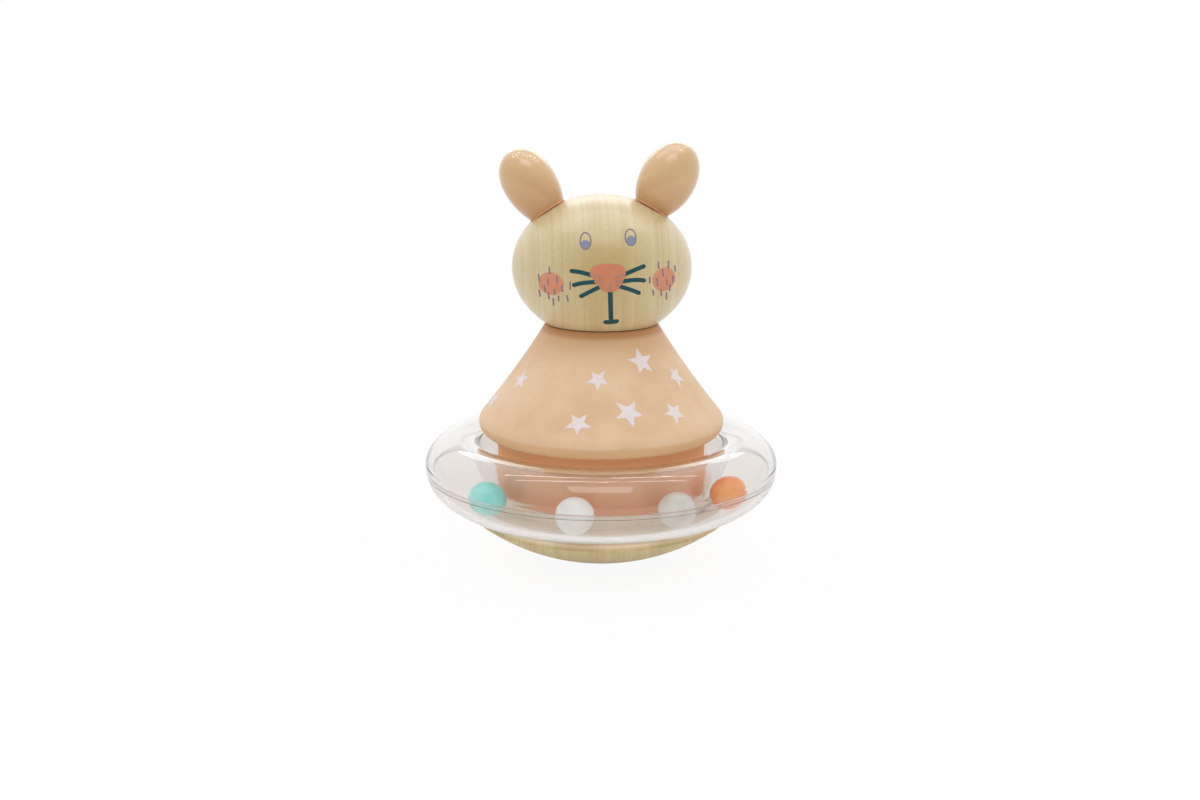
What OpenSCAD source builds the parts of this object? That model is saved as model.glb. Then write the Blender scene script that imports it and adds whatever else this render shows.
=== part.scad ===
// Roly poly toy: a wooden mouse on a rocking base, with a clear ring of loose balls round its hub.
// Millimetres. +Z is up, the face looks along -Y, and z = 0 is the flat that the base rests on.

/* [Base] */
// Radius of the round underside that the toy rocks on
dome_r = 45.8; // [42:0.1:50]
// Diameter of the small flat that the toy rests on
foot_d = 9; // [6:0.5:12]
// Diameter of the base at its shoulder
base_d = 56.8; // [54:0.1:58]
// Height of the shoulder that carries the ring
shoulder_z = 10.6; // [10.4:0.1:10.7]
// Height at which the base meets the painted hub
hub_joint_z = 15.3; // [15:0.1:16]

/* [Painted body] */
// Diameter of the hub inside the ring
hub_d = 46; // [44:0.1:46.4]
// Height of the underside of the cone's rim
rim_z = 28; // [27.8:0.1:28.6]
// Largest diameter of the cone, at its rim
rim_d = 54.2; // [53:0.1:56]
// Rounding of the rim
rim_round = 2.9; // [2:0.1:3.5]
// Height of the cone's top, where the head sits
neck_z = 52.45; // [50:0.05:54]
// Diameter of the cone's top
neck_d = 24.8; // [23:0.1:26]
// How far the side of the cone is hollowed at its middle
flare_bow = 0.5; // [0:0.1:1]

/* [Head] */
// Diameter of the head, seen from above
head_d = 39.1; // [37:0.1:41]
// Height of the full oval that the head is turned to
head_oval_h = 31.3; // [30:0.1:33]
// Height of the middle of the oval
head_z = 64.9; // [64.5:0.1:65.5]

/* [Ears] */
// Length of the left ear's egg before its foot is cut
left_egg_l = 19.2; // [18.4:0.1:20]
// Diameter of the left ear's egg at half its length
left_egg_d = 11.4; // [10.8:0.1:12.2]
// How much fuller the tip of the left ear is than its foot
left_fullness = 0.35; // [0:0.01:0.4]
// Lean of the left ear away from the middle, in degrees
left_splay = 33.7; // [32:0.1:35]
// Distance of the left egg's middle from the head's axis
left_ear_x = 14.8; // [14.6:0.1:15]
// Height of the left egg's middle
left_ear_z = 81.55; // [81.3:0.05:81.8]
// Where the left foot is cut, as a share of the half length below the middle
left_foot = 0.6; // [0.57:0.01:0.63]
// Length of the right ear's egg before its foot is cut
right_egg_l = 17.8; // [17:0.1:18.6]
// Diameter of the right ear's egg at half its length
right_egg_d = 12.2; // [11.6:0.1:12.8]
// How much fuller the tip of the right ear is than its foot
right_fullness = 0.09; // [0:0.01:0.4]
// Lean of the right ear away from the middle, in degrees
right_splay = 30.4; // [29:0.1:32]
// Distance of the right egg's middle from the head's axis
right_ear_x = 14; // [13.8:0.1:14.2]
// Height of the right egg's middle
right_ear_z = 83.5; // [83.3:0.05:83.7]
// Where the right foot is cut, as a share of the half length below the middle
right_foot = 0.78; // [0.74:0.01:0.81]
// Distance of both eggs' middles behind the head's axis
ear_y = 0.8; // [0:0.1:2]
// Lean of both ears towards the back, in degrees
ear_set_back = 8; // [4:1:12]

/* [Clear ring] */
// Outside diameter of the ring, the widest part of the toy
ring_d = 78; // [77:0.1:80]
// Height of the widest part of the ring
ring_z = 21.8; // [21.5:0.1:22.2]
// Wall of the two clear shells
ring_wall = 1.3; // [1.1:0.1:1.4]
// Height of the ring's underside
ring_bottom_z = 10.8; // [10.8:0.1:11]
// Height of the ring's crest
crest_z = 28.1; // [27.8:0.1:28.4]
// Radius at which the crest is highest
crest_r = 31.5; // [30.5:0.1:32.5]
// Radius of the hole at the ring's underside
hole_bottom_r = 23.4; // [23.4:0.05:23.6]
// Radius of the hole just below the crest
hole_top_r = 27; // [26.8:0.1:27.2]
// Height of the weld between the two shells
seam_z = 20.2; // [19.8:0.1:21]
// Overlap of the stepped weld
seam_lap = 0.8; // [0.4:0.1:1.2]

/* [Balls] */
// Diameter of a ball
ball_d = 7.9; // [7.5:0.1:8]
// Radius of the circle on which the balls run
ball_orbit_r = 30.85; // [30.8:0.05:31]
// Height of the balls' middles
ball_z = 17.9; // [17.9:0.05:18.3]
// Place of the teal ball round the ring, in degrees from +X
teal_angle = 220.1; // [212:0.1:232]
// Place of the white ball
white_angle = 260.2; // [248:0.1:272]
// Place of the pearl ball
pearl_angle = 300; // [288:0.1:307]
// Place of the orange ball
orange_angle = 331.1; // [323:0.1:352]

/* [Dowels and ballast] */
// Diameter of the dowels at the neck and in the base
dowel_d = 8; // [6:0.5:9]
// Diameter of the dowels that hold the ears
ear_dowel_d = 4; // [3:0.5:4.5]
// Clearance round a dowel in its bore
dowel_play = 0.05; // [0.02:0.01:0.1]
// Outside diameter of the steel ballast ring
ballast_d = 34; // [30:0.5:36]
// Hole of the ballast ring
ballast_hole_d = 9; // [9:0.5:12]
// Thickness of the ballast ring
ballast_h = 7; // [5:0.5:7.5]

/* [Hidden] */
$fn = 96;
steps = 24;                                  // straight facets along each rounded stretch of an outline

natural = "#dccaa2";
peach = "#e6c4a0";

// Base
dome_centre_z = sqrt(dome_r * dome_r - foot_d * foot_d / 4);
edge_break = 0.9;                            // chamfer on the shoulder's edge
pocket_play = 0.2;                           // room round the ballast
ballast_top_z = hub_joint_z - pocket_play;
ballast_z = ballast_top_z - ballast_h;
dowel_wood = 4.8;                            // how deep the base dowel goes below the ballast
bore_air = 0.5;                              // empty space at the blind end of a bore

// Body
rim_centre = [rim_d / 2 - rim_round, rim_z + rim_round];
rim_turn = 38;                               // the cone's side meets the rim's rounding at this angle
neck_break = 0.3;
base_dowel_top_z = hub_joint_z + 12;
neck_dowel_z = [neck_z - 10, neck_z + 10];

// Ears
pin_in_ear = 4.5;
pin_in_head = 5;
seat_depth = 0.5;                            // depth of the flat seat for an ear's foot
seat_play = 0.1;

// Ring
ring_r = ring_d / 2;
low_r = 21;                                  // the bowl's outline starts from this radius
hole_edge_z = 25.3;                          // the hole's wall turns into the crest here
upper_power = 1.75;                          // roundness of the outline above the widest part
lower_power = 2.3;                           // roundness of the outline below it
crest_power = 2;
wall_lean = (hole_top_r - hole_bottom_r) / (hole_edge_z - ring_bottom_z);
foot_split_r = hole_bottom_r + 1.6;          // the two shells meet at this radius in the underside
weld_gap = 0.05;

// Point of a rounded quarter outline, q degrees round from the r axis: |r/a|^n + |z/b|^n = 1
function quarter(a, b, n, q) = [a * pow(cos(q), 2 / n), b * pow(sin(q), 2 / n)];

// ---- turned wood ----

// Radius of the cone's side, t running from 0 at the neck to 1 at the rim
function flare_r(t, foot_r) = neck_d / 2 + (foot_r - neck_d / 2) * t - 4 * flare_bow * t * (1 - t);

module body_outline() {
    side_end = rim_centre + rim_round * [cos(rim_turn), sin(rim_turn)];
    side = [for (i = [1 : steps])
        [flare_r(i / steps, side_end[0]), neck_z + (side_end[1] - neck_z) * i / steps]];
    rim = [for (i = [1 : steps])
        let (q = rim_turn - i / steps * (rim_turn + 90))
        rim_centre + rim_round * [cos(q), sin(q)]];
    polygon(concat(
        [[0, hub_joint_z], [0, neck_z], [neck_d / 2 - neck_break, neck_z],
            [neck_d / 2, neck_z - neck_break / 2]],
        side, rim,
        [[hub_d / 2, rim_z], [hub_d / 2, hub_joint_z]]));
}

module body() {
    color(peach)
    difference() {
        rotate_extrude()
            body_outline();
        translate([0, 0, hub_joint_z - 1])
            cylinder(d = dowel_d + 2 * dowel_play, h = base_dowel_top_z + bore_air - hub_joint_z + 1);
        translate([0, 0, neck_dowel_z[0] - bore_air])
            cylinder(d = dowel_d + 2 * dowel_play, h = neck_z);
    }
}

module base() {
    color(natural)
    difference() {
        intersection() {
            translate([0, 0, dome_centre_z])
                sphere(r = dome_r);
            rotate_extrude()
                polygon([[0, 0], [base_d / 2, 0], [base_d / 2, shoulder_z - edge_break],
                    [base_d / 2 - edge_break, shoulder_z], [hub_d / 2, shoulder_z],
                    [hub_d / 2, hub_joint_z], [0, hub_joint_z]]);
        }
        translate([0, 0, ballast_z - pocket_play / 2])
            cylinder(d = ballast_d + 2 * pocket_play, h = hub_joint_z);
        translate([0, 0, ballast_z - dowel_wood - bore_air])
            cylinder(d = dowel_d + 2 * dowel_play, h = hub_joint_z);
    }
}

module ballast() {
    color("#8c9094")
    translate([0, 0, ballast_z])
        difference() {
            cylinder(d = ballast_d, h = ballast_h);
            translate([0, 0, -1])
                cylinder(d = ballast_hole_d, h = ballast_h + 2);
        }
}

module dowel(d, z0, z1) {
    color("#d8c294")
    translate([0, 0, z0])
        cylinder(d = d, h = z1 - z0);
}

module base_dowel() {
    dowel(dowel_d, ballast_z - dowel_wood, base_dowel_top_z);
}

module neck_dowel() {
    dowel(dowel_d, neck_dowel_z[0], neck_dowel_z[1]);
}

module head_oval() {
    rotate_extrude()
        polygon(concat([[0, -head_oval_h / 2]],
            [for (i = [1 : 2 * steps - 1])
                let (q = -90 + 90 * i / steps)
                [head_d / 2 * cos(q), head_oval_h / 2 * sin(q)]],
            [[0, head_oval_h / 2]]));
}

module head() {
    color(natural)
    difference() {
        translate([0, 0, head_z])
            head_oval();
        translate([-head_d, -head_d, neck_z - head_d])
            cube([2 * head_d, 2 * head_d, head_d]);
        translate([0, 0, neck_z - 1])
            cylinder(d = dowel_d + 2 * dowel_play, h = neck_dowel_z[1] + bore_air - neck_z + 1);
        ear_seat(left);
        ear_seat(right);
    }
}

// ---- ears: an egg of revolution on its own axis, cut flat at the foot ----

// An ear is [half length, radius, fullness, splay, x, height, foot]; splay and x are signed
left = [left_egg_l / 2, left_egg_d / 2, left_fullness, -left_splay, -left_ear_x, left_ear_z, left_foot];
right = [right_egg_l / 2, right_egg_d / 2, right_fullness, right_splay, right_ear_x, right_ear_z,
    right_foot];

// Radius of the egg at s, the share of the half length above its middle
function egg_r(ear, s) = ear[1] * sqrt((1 - s * s) * (1 + ear[2] * s));
// Height of the cut foot on the egg's own axis
function foot_z(ear) = -ear[6] * ear[0];

// Moves from the middle of the egg to its place on the head
module at_ear(ear) {
    translate([ear[4], ear_y, ear[5]])
        rotate([-ear_set_back, ear[3], 0])
            children();
}

module ear(ear) {
    foot = -ear[6];
    color(peach)
    at_ear(ear)
        difference() {
            rotate_extrude()
                polygon(concat([[0, foot_z(ear)]],
                    [for (i = [0 : 2 * steps - 1])
                        let (s = foot + (1 - foot) * sin(45 * i / steps))
                        [egg_r(ear, s), ear[0] * s]],
                    [[0, ear[0]]]));
            translate([0, 0, foot_z(ear) - 1])
                cylinder(d = ear_dowel_d + 2 * dowel_play, h = pin_in_ear + bore_air + 1);
        }
}

// What is cut from the head for an ear: a shallow flat seat for the foot, and the dowel's bore
module ear_seat(ear) {
    at_ear(ear) {
        translate([0, 0, foot_z(ear)])
            cylinder(r = egg_r(ear, -ear[6] + seat_depth / ear[0]) + seat_play, h = ear[0]);
        translate([0, 0, foot_z(ear) - pin_in_head - bore_air])
            cylinder(d = ear_dowel_d + 2 * dowel_play, h = ear[0]);
    }
}

module ear_pin(ear) {
    at_ear(ear)
        dowel(ear_dowel_d, foot_z(ear) - pin_in_head, foot_z(ear) + pin_in_ear);
}

module left_ear() {
    ear(left);
}

module right_ear() {
    ear(right);
}

module left_ear_dowel() {
    ear_pin(left);
}

module right_ear_dowel() {
    ear_pin(right);
}

// ---- clear ring ----

// Outline of the ring at a depth below its outer skin
module ring_skin(depth) {
    lower = [for (i = [steps : -1 : 0])
        let (q = 90 * i / steps,
             p = quarter(ring_r - low_r - depth, ring_z - ring_bottom_z - depth, lower_power, q))
        if (low_r + p[0] > foot_split_r + 1)
            [low_r + p[0], ring_z - p[1]]];
    upper = [for (i = [1 : steps])
        [crest_r, ring_z] + quarter(ring_r - crest_r - depth, crest_z - ring_z - depth, upper_power,
            90 * i / steps)];
    crest = [for (i = [steps - 1 : -1 : 0])
        let (p = quarter(crest_r - hole_top_r - depth, crest_z - hole_edge_z - depth, crest_power,
                90 * i / steps))
        [crest_r - p[0], hole_edge_z + p[1]]];
    foot = [hole_bottom_r + depth * (1 + wall_lean), ring_bottom_z + depth];
    polygon(concat(lower, upper, crest, [foot]));
}

module ring_shell_outline() {
    difference() {
        ring_skin(0);
        ring_skin(ring_wall);
    }
}

// Everything that belongs to the upper shell: above the stepped weld, and the wall of the hole.
// spread moves the cut apart a little, so that the two shells keep a hairline between them.
module upper_side(spread) {
    lap_r = ring_r - ring_wall / 2;
    top = crest_z + 1;
    far = ring_r + 1;
    in_hollow_r = hole_top_r + 2;
    lap_top_z = seam_z + seam_lap / 2 - spread;
    lap_low_z = seam_z - seam_lap / 2 - spread;
    floor_z = ring_bottom_z + ring_wall;
    polygon([[0, 0], [foot_split_r + spread, 0], [foot_split_r + spread, floor_z + 0.1],
        [foot_split_r + 1.5, floor_z + 0.8], [in_hollow_r, seam_z], [in_hollow_r, lap_top_z],
        [lap_r - spread, lap_top_z], [lap_r - spread, lap_low_z], [far, lap_low_z], [far, top],
        [0, top]]);
}

module ring_upper_shell() {
    color("#e8ecee", 0.35)
    rotate_extrude()
        intersection() {
            ring_shell_outline();
            upper_side(0);
        }
}

module ring_lower_shell() {
    color("#dfe4e8", 0.35)
    rotate_extrude()
        difference() {
            ring_shell_outline();
            upper_side(weld_gap);
        }
}

// ---- balls ----

module ball(angle) {
    rotate([0, 0, angle])
        translate([ball_orbit_r, 0, ball_z])
            sphere(d = ball_d);
}

module ball_teal() {
    color("#7ed3cd") ball(teal_angle);
}

module ball_white() {
    color("#f2f2f0") ball(white_angle);
}

module ball_pearl() {
    color("#c4c4bc") ball(pearl_angle);
}

module ball_orange() {
    color("#eb9b5a") ball(orange_angle);
}

head();
left_ear();
right_ear();
left_ear_dowel();
right_ear_dowel();
neck_dowel();
body();
base_dowel();
base();
ballast();
ring_upper_shell();
ring_lower_shell();
ball_teal();
ball_white();
ball_pearl();
ball_orange();
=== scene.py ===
# %% [markdown]
# # A wooden roly poly mouse with a clear bead ring
# The toy is turned from pale hardwood: a round base that rocks, a painted cone for the dress, an
# oval head and two egg-shaped ears. A hollow clear ring turns loosely on the hub under the dress,
# and four plastic beads run inside it. It could be modelled by hand in the viewport. Here each
# visible piece is worked out from a few measured sizes, so that a wrong one is mended by changing
# one number. The imported model is loaded first, because every piece rides on one of its bodies.

import bpy
import numpy as np
from mathutils import Matrix, Vector


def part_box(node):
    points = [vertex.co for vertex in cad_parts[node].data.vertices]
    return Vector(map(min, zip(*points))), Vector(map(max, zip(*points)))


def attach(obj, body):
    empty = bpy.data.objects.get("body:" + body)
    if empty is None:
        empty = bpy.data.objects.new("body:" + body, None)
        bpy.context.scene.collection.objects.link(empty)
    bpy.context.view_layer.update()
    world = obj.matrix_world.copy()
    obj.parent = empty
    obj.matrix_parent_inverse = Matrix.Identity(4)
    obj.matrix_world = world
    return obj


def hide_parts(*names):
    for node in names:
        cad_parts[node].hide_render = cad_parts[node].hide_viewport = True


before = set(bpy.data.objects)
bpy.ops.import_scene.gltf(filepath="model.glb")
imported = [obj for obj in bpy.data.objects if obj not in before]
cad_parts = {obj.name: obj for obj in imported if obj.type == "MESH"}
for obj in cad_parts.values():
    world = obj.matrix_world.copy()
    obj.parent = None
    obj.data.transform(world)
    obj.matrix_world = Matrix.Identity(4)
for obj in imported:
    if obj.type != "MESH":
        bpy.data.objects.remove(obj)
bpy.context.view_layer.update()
MM = 0.001  # Blender works in metres, and this script's sizes are in millimetres
scene = bpy.context.scene

# %% [markdown]
# ## The camera
# The photograph was taken from a little above the toy, 28 cm in front of its axis. A camera could
# be moved by eye until the picture fits, but its numbers were fitted to the toy's outline instead,
# which is true to a pixel or two. The lens and the small shift put the toy at the photograph's
# place and size in a frame of 1200 by 800. A camera that isn't turned looks straight down, so it is
# turned up by a right angle less its pitch.

# %% Make the camera
CAMERA_PLACE = np.array([0.0, -280.0, 99.62])  # mm
AIM_HEIGHT = 46.0  # mm: the height on the toy's axis that it is turned to
SENSOR_WIDTH = 36.0  # mm
FRAME_WIDTH, FRAME_HEIGHT = 1200, 800  # pixels
FOCAL_LENGTH = 1291.6  # in the same pixels
MIDDLE_COLUMN, MIDDLE_ROW = 601.5, 351.49  # the pixel that the lens looks straight at
ROLL = 0.0034  # radians

pitch = np.arctan2(CAMERA_PLACE[2] - AIM_HEIGHT, -CAMERA_PLACE[1])
camera_data = bpy.data.cameras.new("camera")
camera_data.sensor_width = SENSOR_WIDTH
camera_data.lens = FOCAL_LENGTH / FRAME_WIDTH * SENSOR_WIDTH
camera_data.shift_x = (FRAME_WIDTH / 2 - MIDDLE_COLUMN) / FRAME_WIDTH
camera_data.shift_y = (MIDDLE_ROW - FRAME_HEIGHT / 2) / FRAME_WIDTH
camera = bpy.data.objects.new("camera", camera_data)
turn = Matrix.Rotation(np.pi / 2 - pitch, 4, "X") @ Matrix.Rotation(ROLL, 4, "Z")
camera.matrix_world = Matrix.Translation(CAMERA_PLACE * MM) @ turn
scene.collection.objects.link(camera)
scene.camera = camera
print(f"lens {camera_data.lens:.2f} mm, pitch {np.degrees(pitch):.2f} degrees")

# %% [markdown]
# ## Helpers for turned shapes
# Nearly every piece of this toy is turned on a lathe, so its shape is one profile carried round an
# axis. The Screw modifier could do that to a drawn line. With numpy the profile stays a list of
# numbers, which also says later where the face and the stars have to lie. The corners of real
# turned wood and moulded plastic are never sharp, so each corner can be eased by a short curve.
# Long straight stretches are split up, which keeps the smooth shading of a flat face flat.

# %% Profiles
TINY = 1e-9  # mm: a guard against dividing by nothing
SAME_POINT = 1e-6  # mm: points closer than this count as one


def eased(corners, closed=False, step=0.8, arc=7):
    """Profile through corners (r, z, ease). A corner C is cut back by its ease along both sides, to
    A and B, and bridged by A(1-t)^2 + 2C t(1-t) + B t^2 in arc points. Straight stretches are split
    every step mm. A closed profile joins its last corner to its first."""
    corner = np.array(corners, float)
    points, ease = corner[:, :2], corner[:, 2:]

    def towards(other):
        way = other - points
        length = np.maximum(np.linalg.norm(way, axis=1, keepdims=True), TINY)
        return points + way / length * np.minimum(ease, 0.5 * length)

    before, after = towards(np.roll(points, 1, 0)), towards(np.roll(points, -1, 0))
    t = np.linspace(0, 1, arc)[:, None, None]
    curve = before * (1 - t) ** 2 + 2 * points * t * (1 - t) + after * t**2
    line = curve.transpose(1, 0, 2).reshape(-1, 2)
    line = line[np.r_[True, np.linalg.norm(np.diff(line, axis=0), axis=1) > SAME_POINT]]
    if closed:
        line = np.vstack([line, line[:1]])
    along = np.r_[0, np.cumsum(np.linalg.norm(np.diff(line, axis=0), axis=1))]
    regular = np.arange(step, along[-1], step)
    near = np.abs(regular[:, None] - along[None]).min(1) < step / 4
    stations = np.sort(np.r_[along, regular[~near]])
    line = np.stack([np.interp(stations, along, line[:, k]) for k in (0, 1)], axis=1)
    return line[:-1] if closed else line


def carried_round(profile, turns=192):
    """Grid of points for a turned shape: x = r cos a, y = r sin a, with a full turn of angles a."""
    a = np.arange(turns) * 2 * np.pi / turns
    r, z = profile[:, 0, None], profile[:, 1, None]
    return np.stack([r * np.cos(a), r * np.sin(a), z + 0 * a], axis=-1)


disc = carried_round(eased([(0, 0, 0), (10, 0, 1), (10, 4, 1), (0, 4, 0)]))
print("as a trial, a disc with eased edges:", disc.shape[:2], "rows and columns of points")

# %% [markdown]
# ## Helpers for meshes
# A grid of points becomes a mesh by joining each point to its neighbours. That could be done face
# by face with bmesh, but the point numbers of all faces can be cut from one array at once, always
# in the order that makes them look outwards. The last column joins the first one. The rows of a
# hollow ring join up as well, while on a solid piece the first and last rows shrink to single
# points on the axis, the poles, which are closed with triangles.


# %% Meshes
def cells(grid, wrap_rows=False):
    """Vertices and faces of a grid (rows, columns, 3) in mm: a face is a grid cell, and a first or
    last row whose points coincide is one pole. Faces look along (column step) x (row step)."""
    first, last = (np.ptp(grid[k], axis=0).max() < TINY and not wrap_rows for k in (0, -1))
    body = grid[int(first) : len(grid) - int(last)]
    index = np.arange(body.shape[0] * body.shape[1]).reshape(body.shape[:2])
    beside = np.roll(index, -1, axis=1)
    if wrap_rows:
        index, beside = (np.vstack([i, i[:1]]) for i in (index, beside))
    quads = np.stack([index[:-1], beside[:-1], beside[1:], index[1:]], -1).reshape(-1, 4)
    vertices, faces = [body.reshape(-1, 3)], quads.tolist()
    count = body.shape[0] * body.shape[1]
    for is_pole, point, ring, other in (
        (first, grid[0, 0], beside[0], index[0]),
        (last, grid[-1, 0], index[-1], beside[-1]),
    ):
        if is_pole:
            vertices.append(point[None])
            faces += np.stack([np.full_like(ring, count), ring, other], -1).tolist()
            count += 1
    return np.vstack(vertices), faces


disc_points, disc_faces = cells(disc)
print("the disc as a mesh:", len(disc_points), "points,", len(disc_faces), "faces, two poles")

# %% [markdown]
# ## Helpers for objects
# A mesh shows only as the data of an object. An object could be moved to its place, but then every
# pattern on it would have to be moved as well, so its place is in its mesh and the object stays at
# the origin. A piece of the toy also says which of the model's bodies it rides on, which material it
# has, and which solid it stands for.


# %% Objects
def shown(name, points, faces, material):
    """An object in the scene from points in mm and faces, with one material."""
    mesh = bpy.data.meshes.new(name)
    mesh.from_pydata((points * MM).tolist(), [], faces)
    mesh.materials.append(material)
    made = bpy.data.objects.new(name, mesh)
    scene.collection.objects.link(made)
    return made


def piece(name, grids, body, material, replaces=(), wrap_rows=False):
    """One object from one or more grids in mm: its place is in its mesh, it is shaded smooth, it
    rides on a CAD body, and it may stand for CAD nodes."""
    points, faces, count = [], [], 0
    for grid in grids if isinstance(grids, list) else [grids]:
        v, f = cells(grid, wrap_rows)
        points.append(v)
        faces += [[i + count for i in face] for face in f]
        count += len(v)
    made = shown(name, np.vstack(points), faces, material)
    made.data.shade_smooth()
    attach(made, body)
    if replaces:
        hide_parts(*replaces)
    print(f"{name}: {len(faces)} faces, {np.ptp(np.vstack(points), axis=0).round(2)} mm")
    return made


print("each piece prints its faces and its size in mm when it is made")

# %% [markdown]
# ## Helpers for materials
# Colours are written as sRGB hex values, the way a paint chart gives them, and turned to the linear
# values that Blender's shaders work with. A node tree can be wired by hand in the shader editor.
# Here one function adds a node to a tree, sets it and links it, so that a material reads as a list
# of what its surface is made of.


# %% Colours and nodes
def colour(code):
    """Linear RGBA of an sRGB hex colour: c/12.92 below 0.04045, else ((c+0.055)/1.055)^2.4."""
    c = np.array([int(code[i : i + 2], 16) / 255 for i in (1, 3, 5)])
    linear = np.where(c <= 0.04045, c / 12.92, ((c + 0.055) / 1.055) ** 2.4)
    return (*linear.tolist(), 1.0)


def add(tree, kind, inputs=None, **settings):
    """Adds a node. settings are its own properties. inputs gives each named input a value, or the
    output socket that is linked to it."""
    node = tree.nodes.new("ShaderNode" + kind)
    for key, value in settings.items():
        setattr(node, key, value)
    for key, value in (inputs or {}).items():
        named = [s for s in node.inputs if key in (s.identifier, s.name)]
        if isinstance(value, bpy.types.NodeSocket):
            tree.links.new(value, named[0])
        else:
            named[0].default_value = value
    return node


def blank_material(name):
    """A new material with an empty node tree and its output node."""
    material = bpy.data.materials.new(name)
    material.use_nodes = True
    material.node_tree.nodes.clear()
    return material, material.node_tree, add(material.node_tree, "OutputMaterial")


def finish_with(tree, output, shader):
    """Links a shader's output to the material's surface."""
    tree.links.new(shader.outputs[0], output.inputs["Surface"])


WHITE = colour("#ffffff")
print("sRGB #808080 as a linear value:", round(colour("#808080")[0], 3))

# %% [markdown]
# ## Colours laid over one another
# The finishes of this toy are a few close colours over one another: darker grain on pale wood, and
# painted shade and painted light on the paint and the base. A ColorRamp per material would do, but
# it can't be set from a list of plain numbers as easily. So one helper stretches a pattern from
# where the upper colour begins to where it is strongest, and mixes it in by that. A second one does
# the same by height, because the painted shade and light on a turned piece go all round it.


# %% Laying colours over
def laid_over(tree, under, over, pattern, low, high, most):
    """One colour laid over another by a pattern: under (1 - share) + over share, where the share
    runs from 0 to most as the pattern runs from low to high."""
    share = add(
        tree, "MapRange", {"Value": pattern, "From Min": low, "From Max": high, "To Max": most}
    )
    return add(
        tree,
        "Mix",
        {"Factor_Float": share.outputs[0], "A_Color": under, "B_Color": colour(over)},
        data_type="RGBA",
    ).outputs["Result"]


def toned_by_height(tree, under, place, zones):
    """Lays each zone (z from, z to, colour, share) over a colour: nothing of it at the first height
    in mm and beyond, and its full share at the second and beyond."""
    if not zones:
        return under
    height = add(tree, "SeparateXYZ", {"Vector": place}).outputs["Z"]
    for z_from, z_to, tone, share in zones:
        under = laid_over(tree, under, tone, height, z_from * MM, z_to * MM, share)
    return under


print("helpers lay a colour over another by a pattern and by height")

# %% [markdown]
# ## Varnished hardwood
# The head and the base are a pale, close-grained hardwood such as maple. The grain runs up the
# turning axis. Its growth rings are wide circles round a pith far outside the piece, so they cut
# the front as nearly straight upright bands. Fine fibres and short pores lie along the same
# direction. One 3-D noise stretched upright would give streaks, but rings worked out as a distance
# from a pith keep their true curve round the whole piece.

# %% Grain
GROWTH_RINGS = (3.4, 1.0)  # mm between them, and how many finer swings the noise adds
FINE_LINES = (0.9, 2.0)  # the same for the fine dark lines inside the rings
FIBRES = (0.4, 40, 3.0)  # mm across, times as long; real ones are finer and would not show
PORES = (0.2, 9, 1.0)  # the same for the pores
RING_RISE = 0.16  # share at which heights count in the distance, as a trunk narrows upwards


def rings_about(tree, place, middle, rise, kinds):
    """Distance in metres from a middle in mm, sqrt(x^2 + y^2 + (rise z)^2), and for each kind
    (spacing, swings) a noise in 0..1 along that distance alone, which draws rings or ovals."""
    offset = add(tree, "Mapping", {"Vector": place, "Location": [-v * MM for v in middle]})
    tall = add(tree, "Mapping", {"Vector": offset.outputs[0], "Scale": (1, 1, rise)})
    away = add(tree, "VectorMath", {"Vector": tall.outputs[0]}, operation="LENGTH")
    noises = [
        add(
            tree,
            "TexNoise",
            {"W": away.outputs["Value"], "Scale": 1 / (spacing * MM), "Detail": swings},
            noise_dimensions="1D",
        )
        for spacing, swings in kinds
    ]
    return away.outputs["Value"], [noise.outputs["Fac"] for noise in noises]


def streaks(tree, place, width, times_as_long, swings):
    """Noise in 0..1 that is drawn out along Z, with streaks of the given width in mm."""
    long = add(tree, "Mapping", {"Vector": place, "Scale": (1, 1, 1 / times_as_long)})
    return add(
        tree, "TexNoise", {"Vector": long.outputs[0], "Scale": 1 / (width * MM), "Detail": swings}
    ).outputs["Fac"]


print("growth rings", GROWTH_RINGS[0], "mm apart, lines", FINE_LINES[0], "mm apart")

# %% [markdown]
# In the middle of the face the turning tool has just touched one growth ring, which spreads there
# into a broad, darker figure of ovals. An image could be laid on for it, but the wood has it only
# because the surface cuts a ring flat, so it is drawn the same way: as rings about a point under
# the surface, which fade out with the distance.

# %% The flat figure
FIGURE_OVALS = (2.2, 1.0)  # mm between the ovals, swings
FIGURE_RISE = 0.72  # heights count at this share, which makes the ovals upright
FIGURE_CORE = 0.2  # share of its reach within which the figure is full
OVALS_SHOW = (0.35, 0.65, 0.5)  # pattern's value where they begin, where they are full, share
FIGURE_TINT = 0.75  # share of the figure's colour at its middle


def with_figure(tree, wood, place, middle, reach, tone):
    """Wood with ovals of a tone and an even tint of it round a middle, both fading out by a smooth
    step until reach mm away."""
    away, (ovals,) = rings_about(tree, place, middle, FIGURE_RISE, [FIGURE_OVALS])
    fade = add(
        tree,
        "MapRange",
        {"Value": away, "From Min": FIGURE_CORE * reach * MM, "From Max": reach * MM},
        interpolation_type="SMOOTHSTEP",
    ).outputs[0]
    drawn = laid_over(tree, wood, tone, ovals, *OVALS_SHOW)
    deep = laid_over(tree, drawn, tone, fade, 1.0, 0.0, FIGURE_TINT)
    return add(
        tree, "Mix", {"Factor_Float": fade, "A_Color": deep, "B_Color": wood}, data_type="RGBA"
    ).outputs["Result"]


FACE_FIGURE = ((0.5, -19.0, 66.0), 15.0, "#c4aa6a")  # middle and reach in mm, colour
print("figure on the face reaches", FACE_FIGURE[1], "mm from its middle")

# %% [markdown]
# The wood is sanded smooth and sealed with a clear satin varnish, which gives the eye a soft sheen
# over a warm, slightly uneven colour. A glossy layer could be mixed in by hand, but the shader's
# coat is just that: a clear film over a base. The fibres under it change the roughness and stand
# out by a few hundredths of a millimetre.

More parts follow.
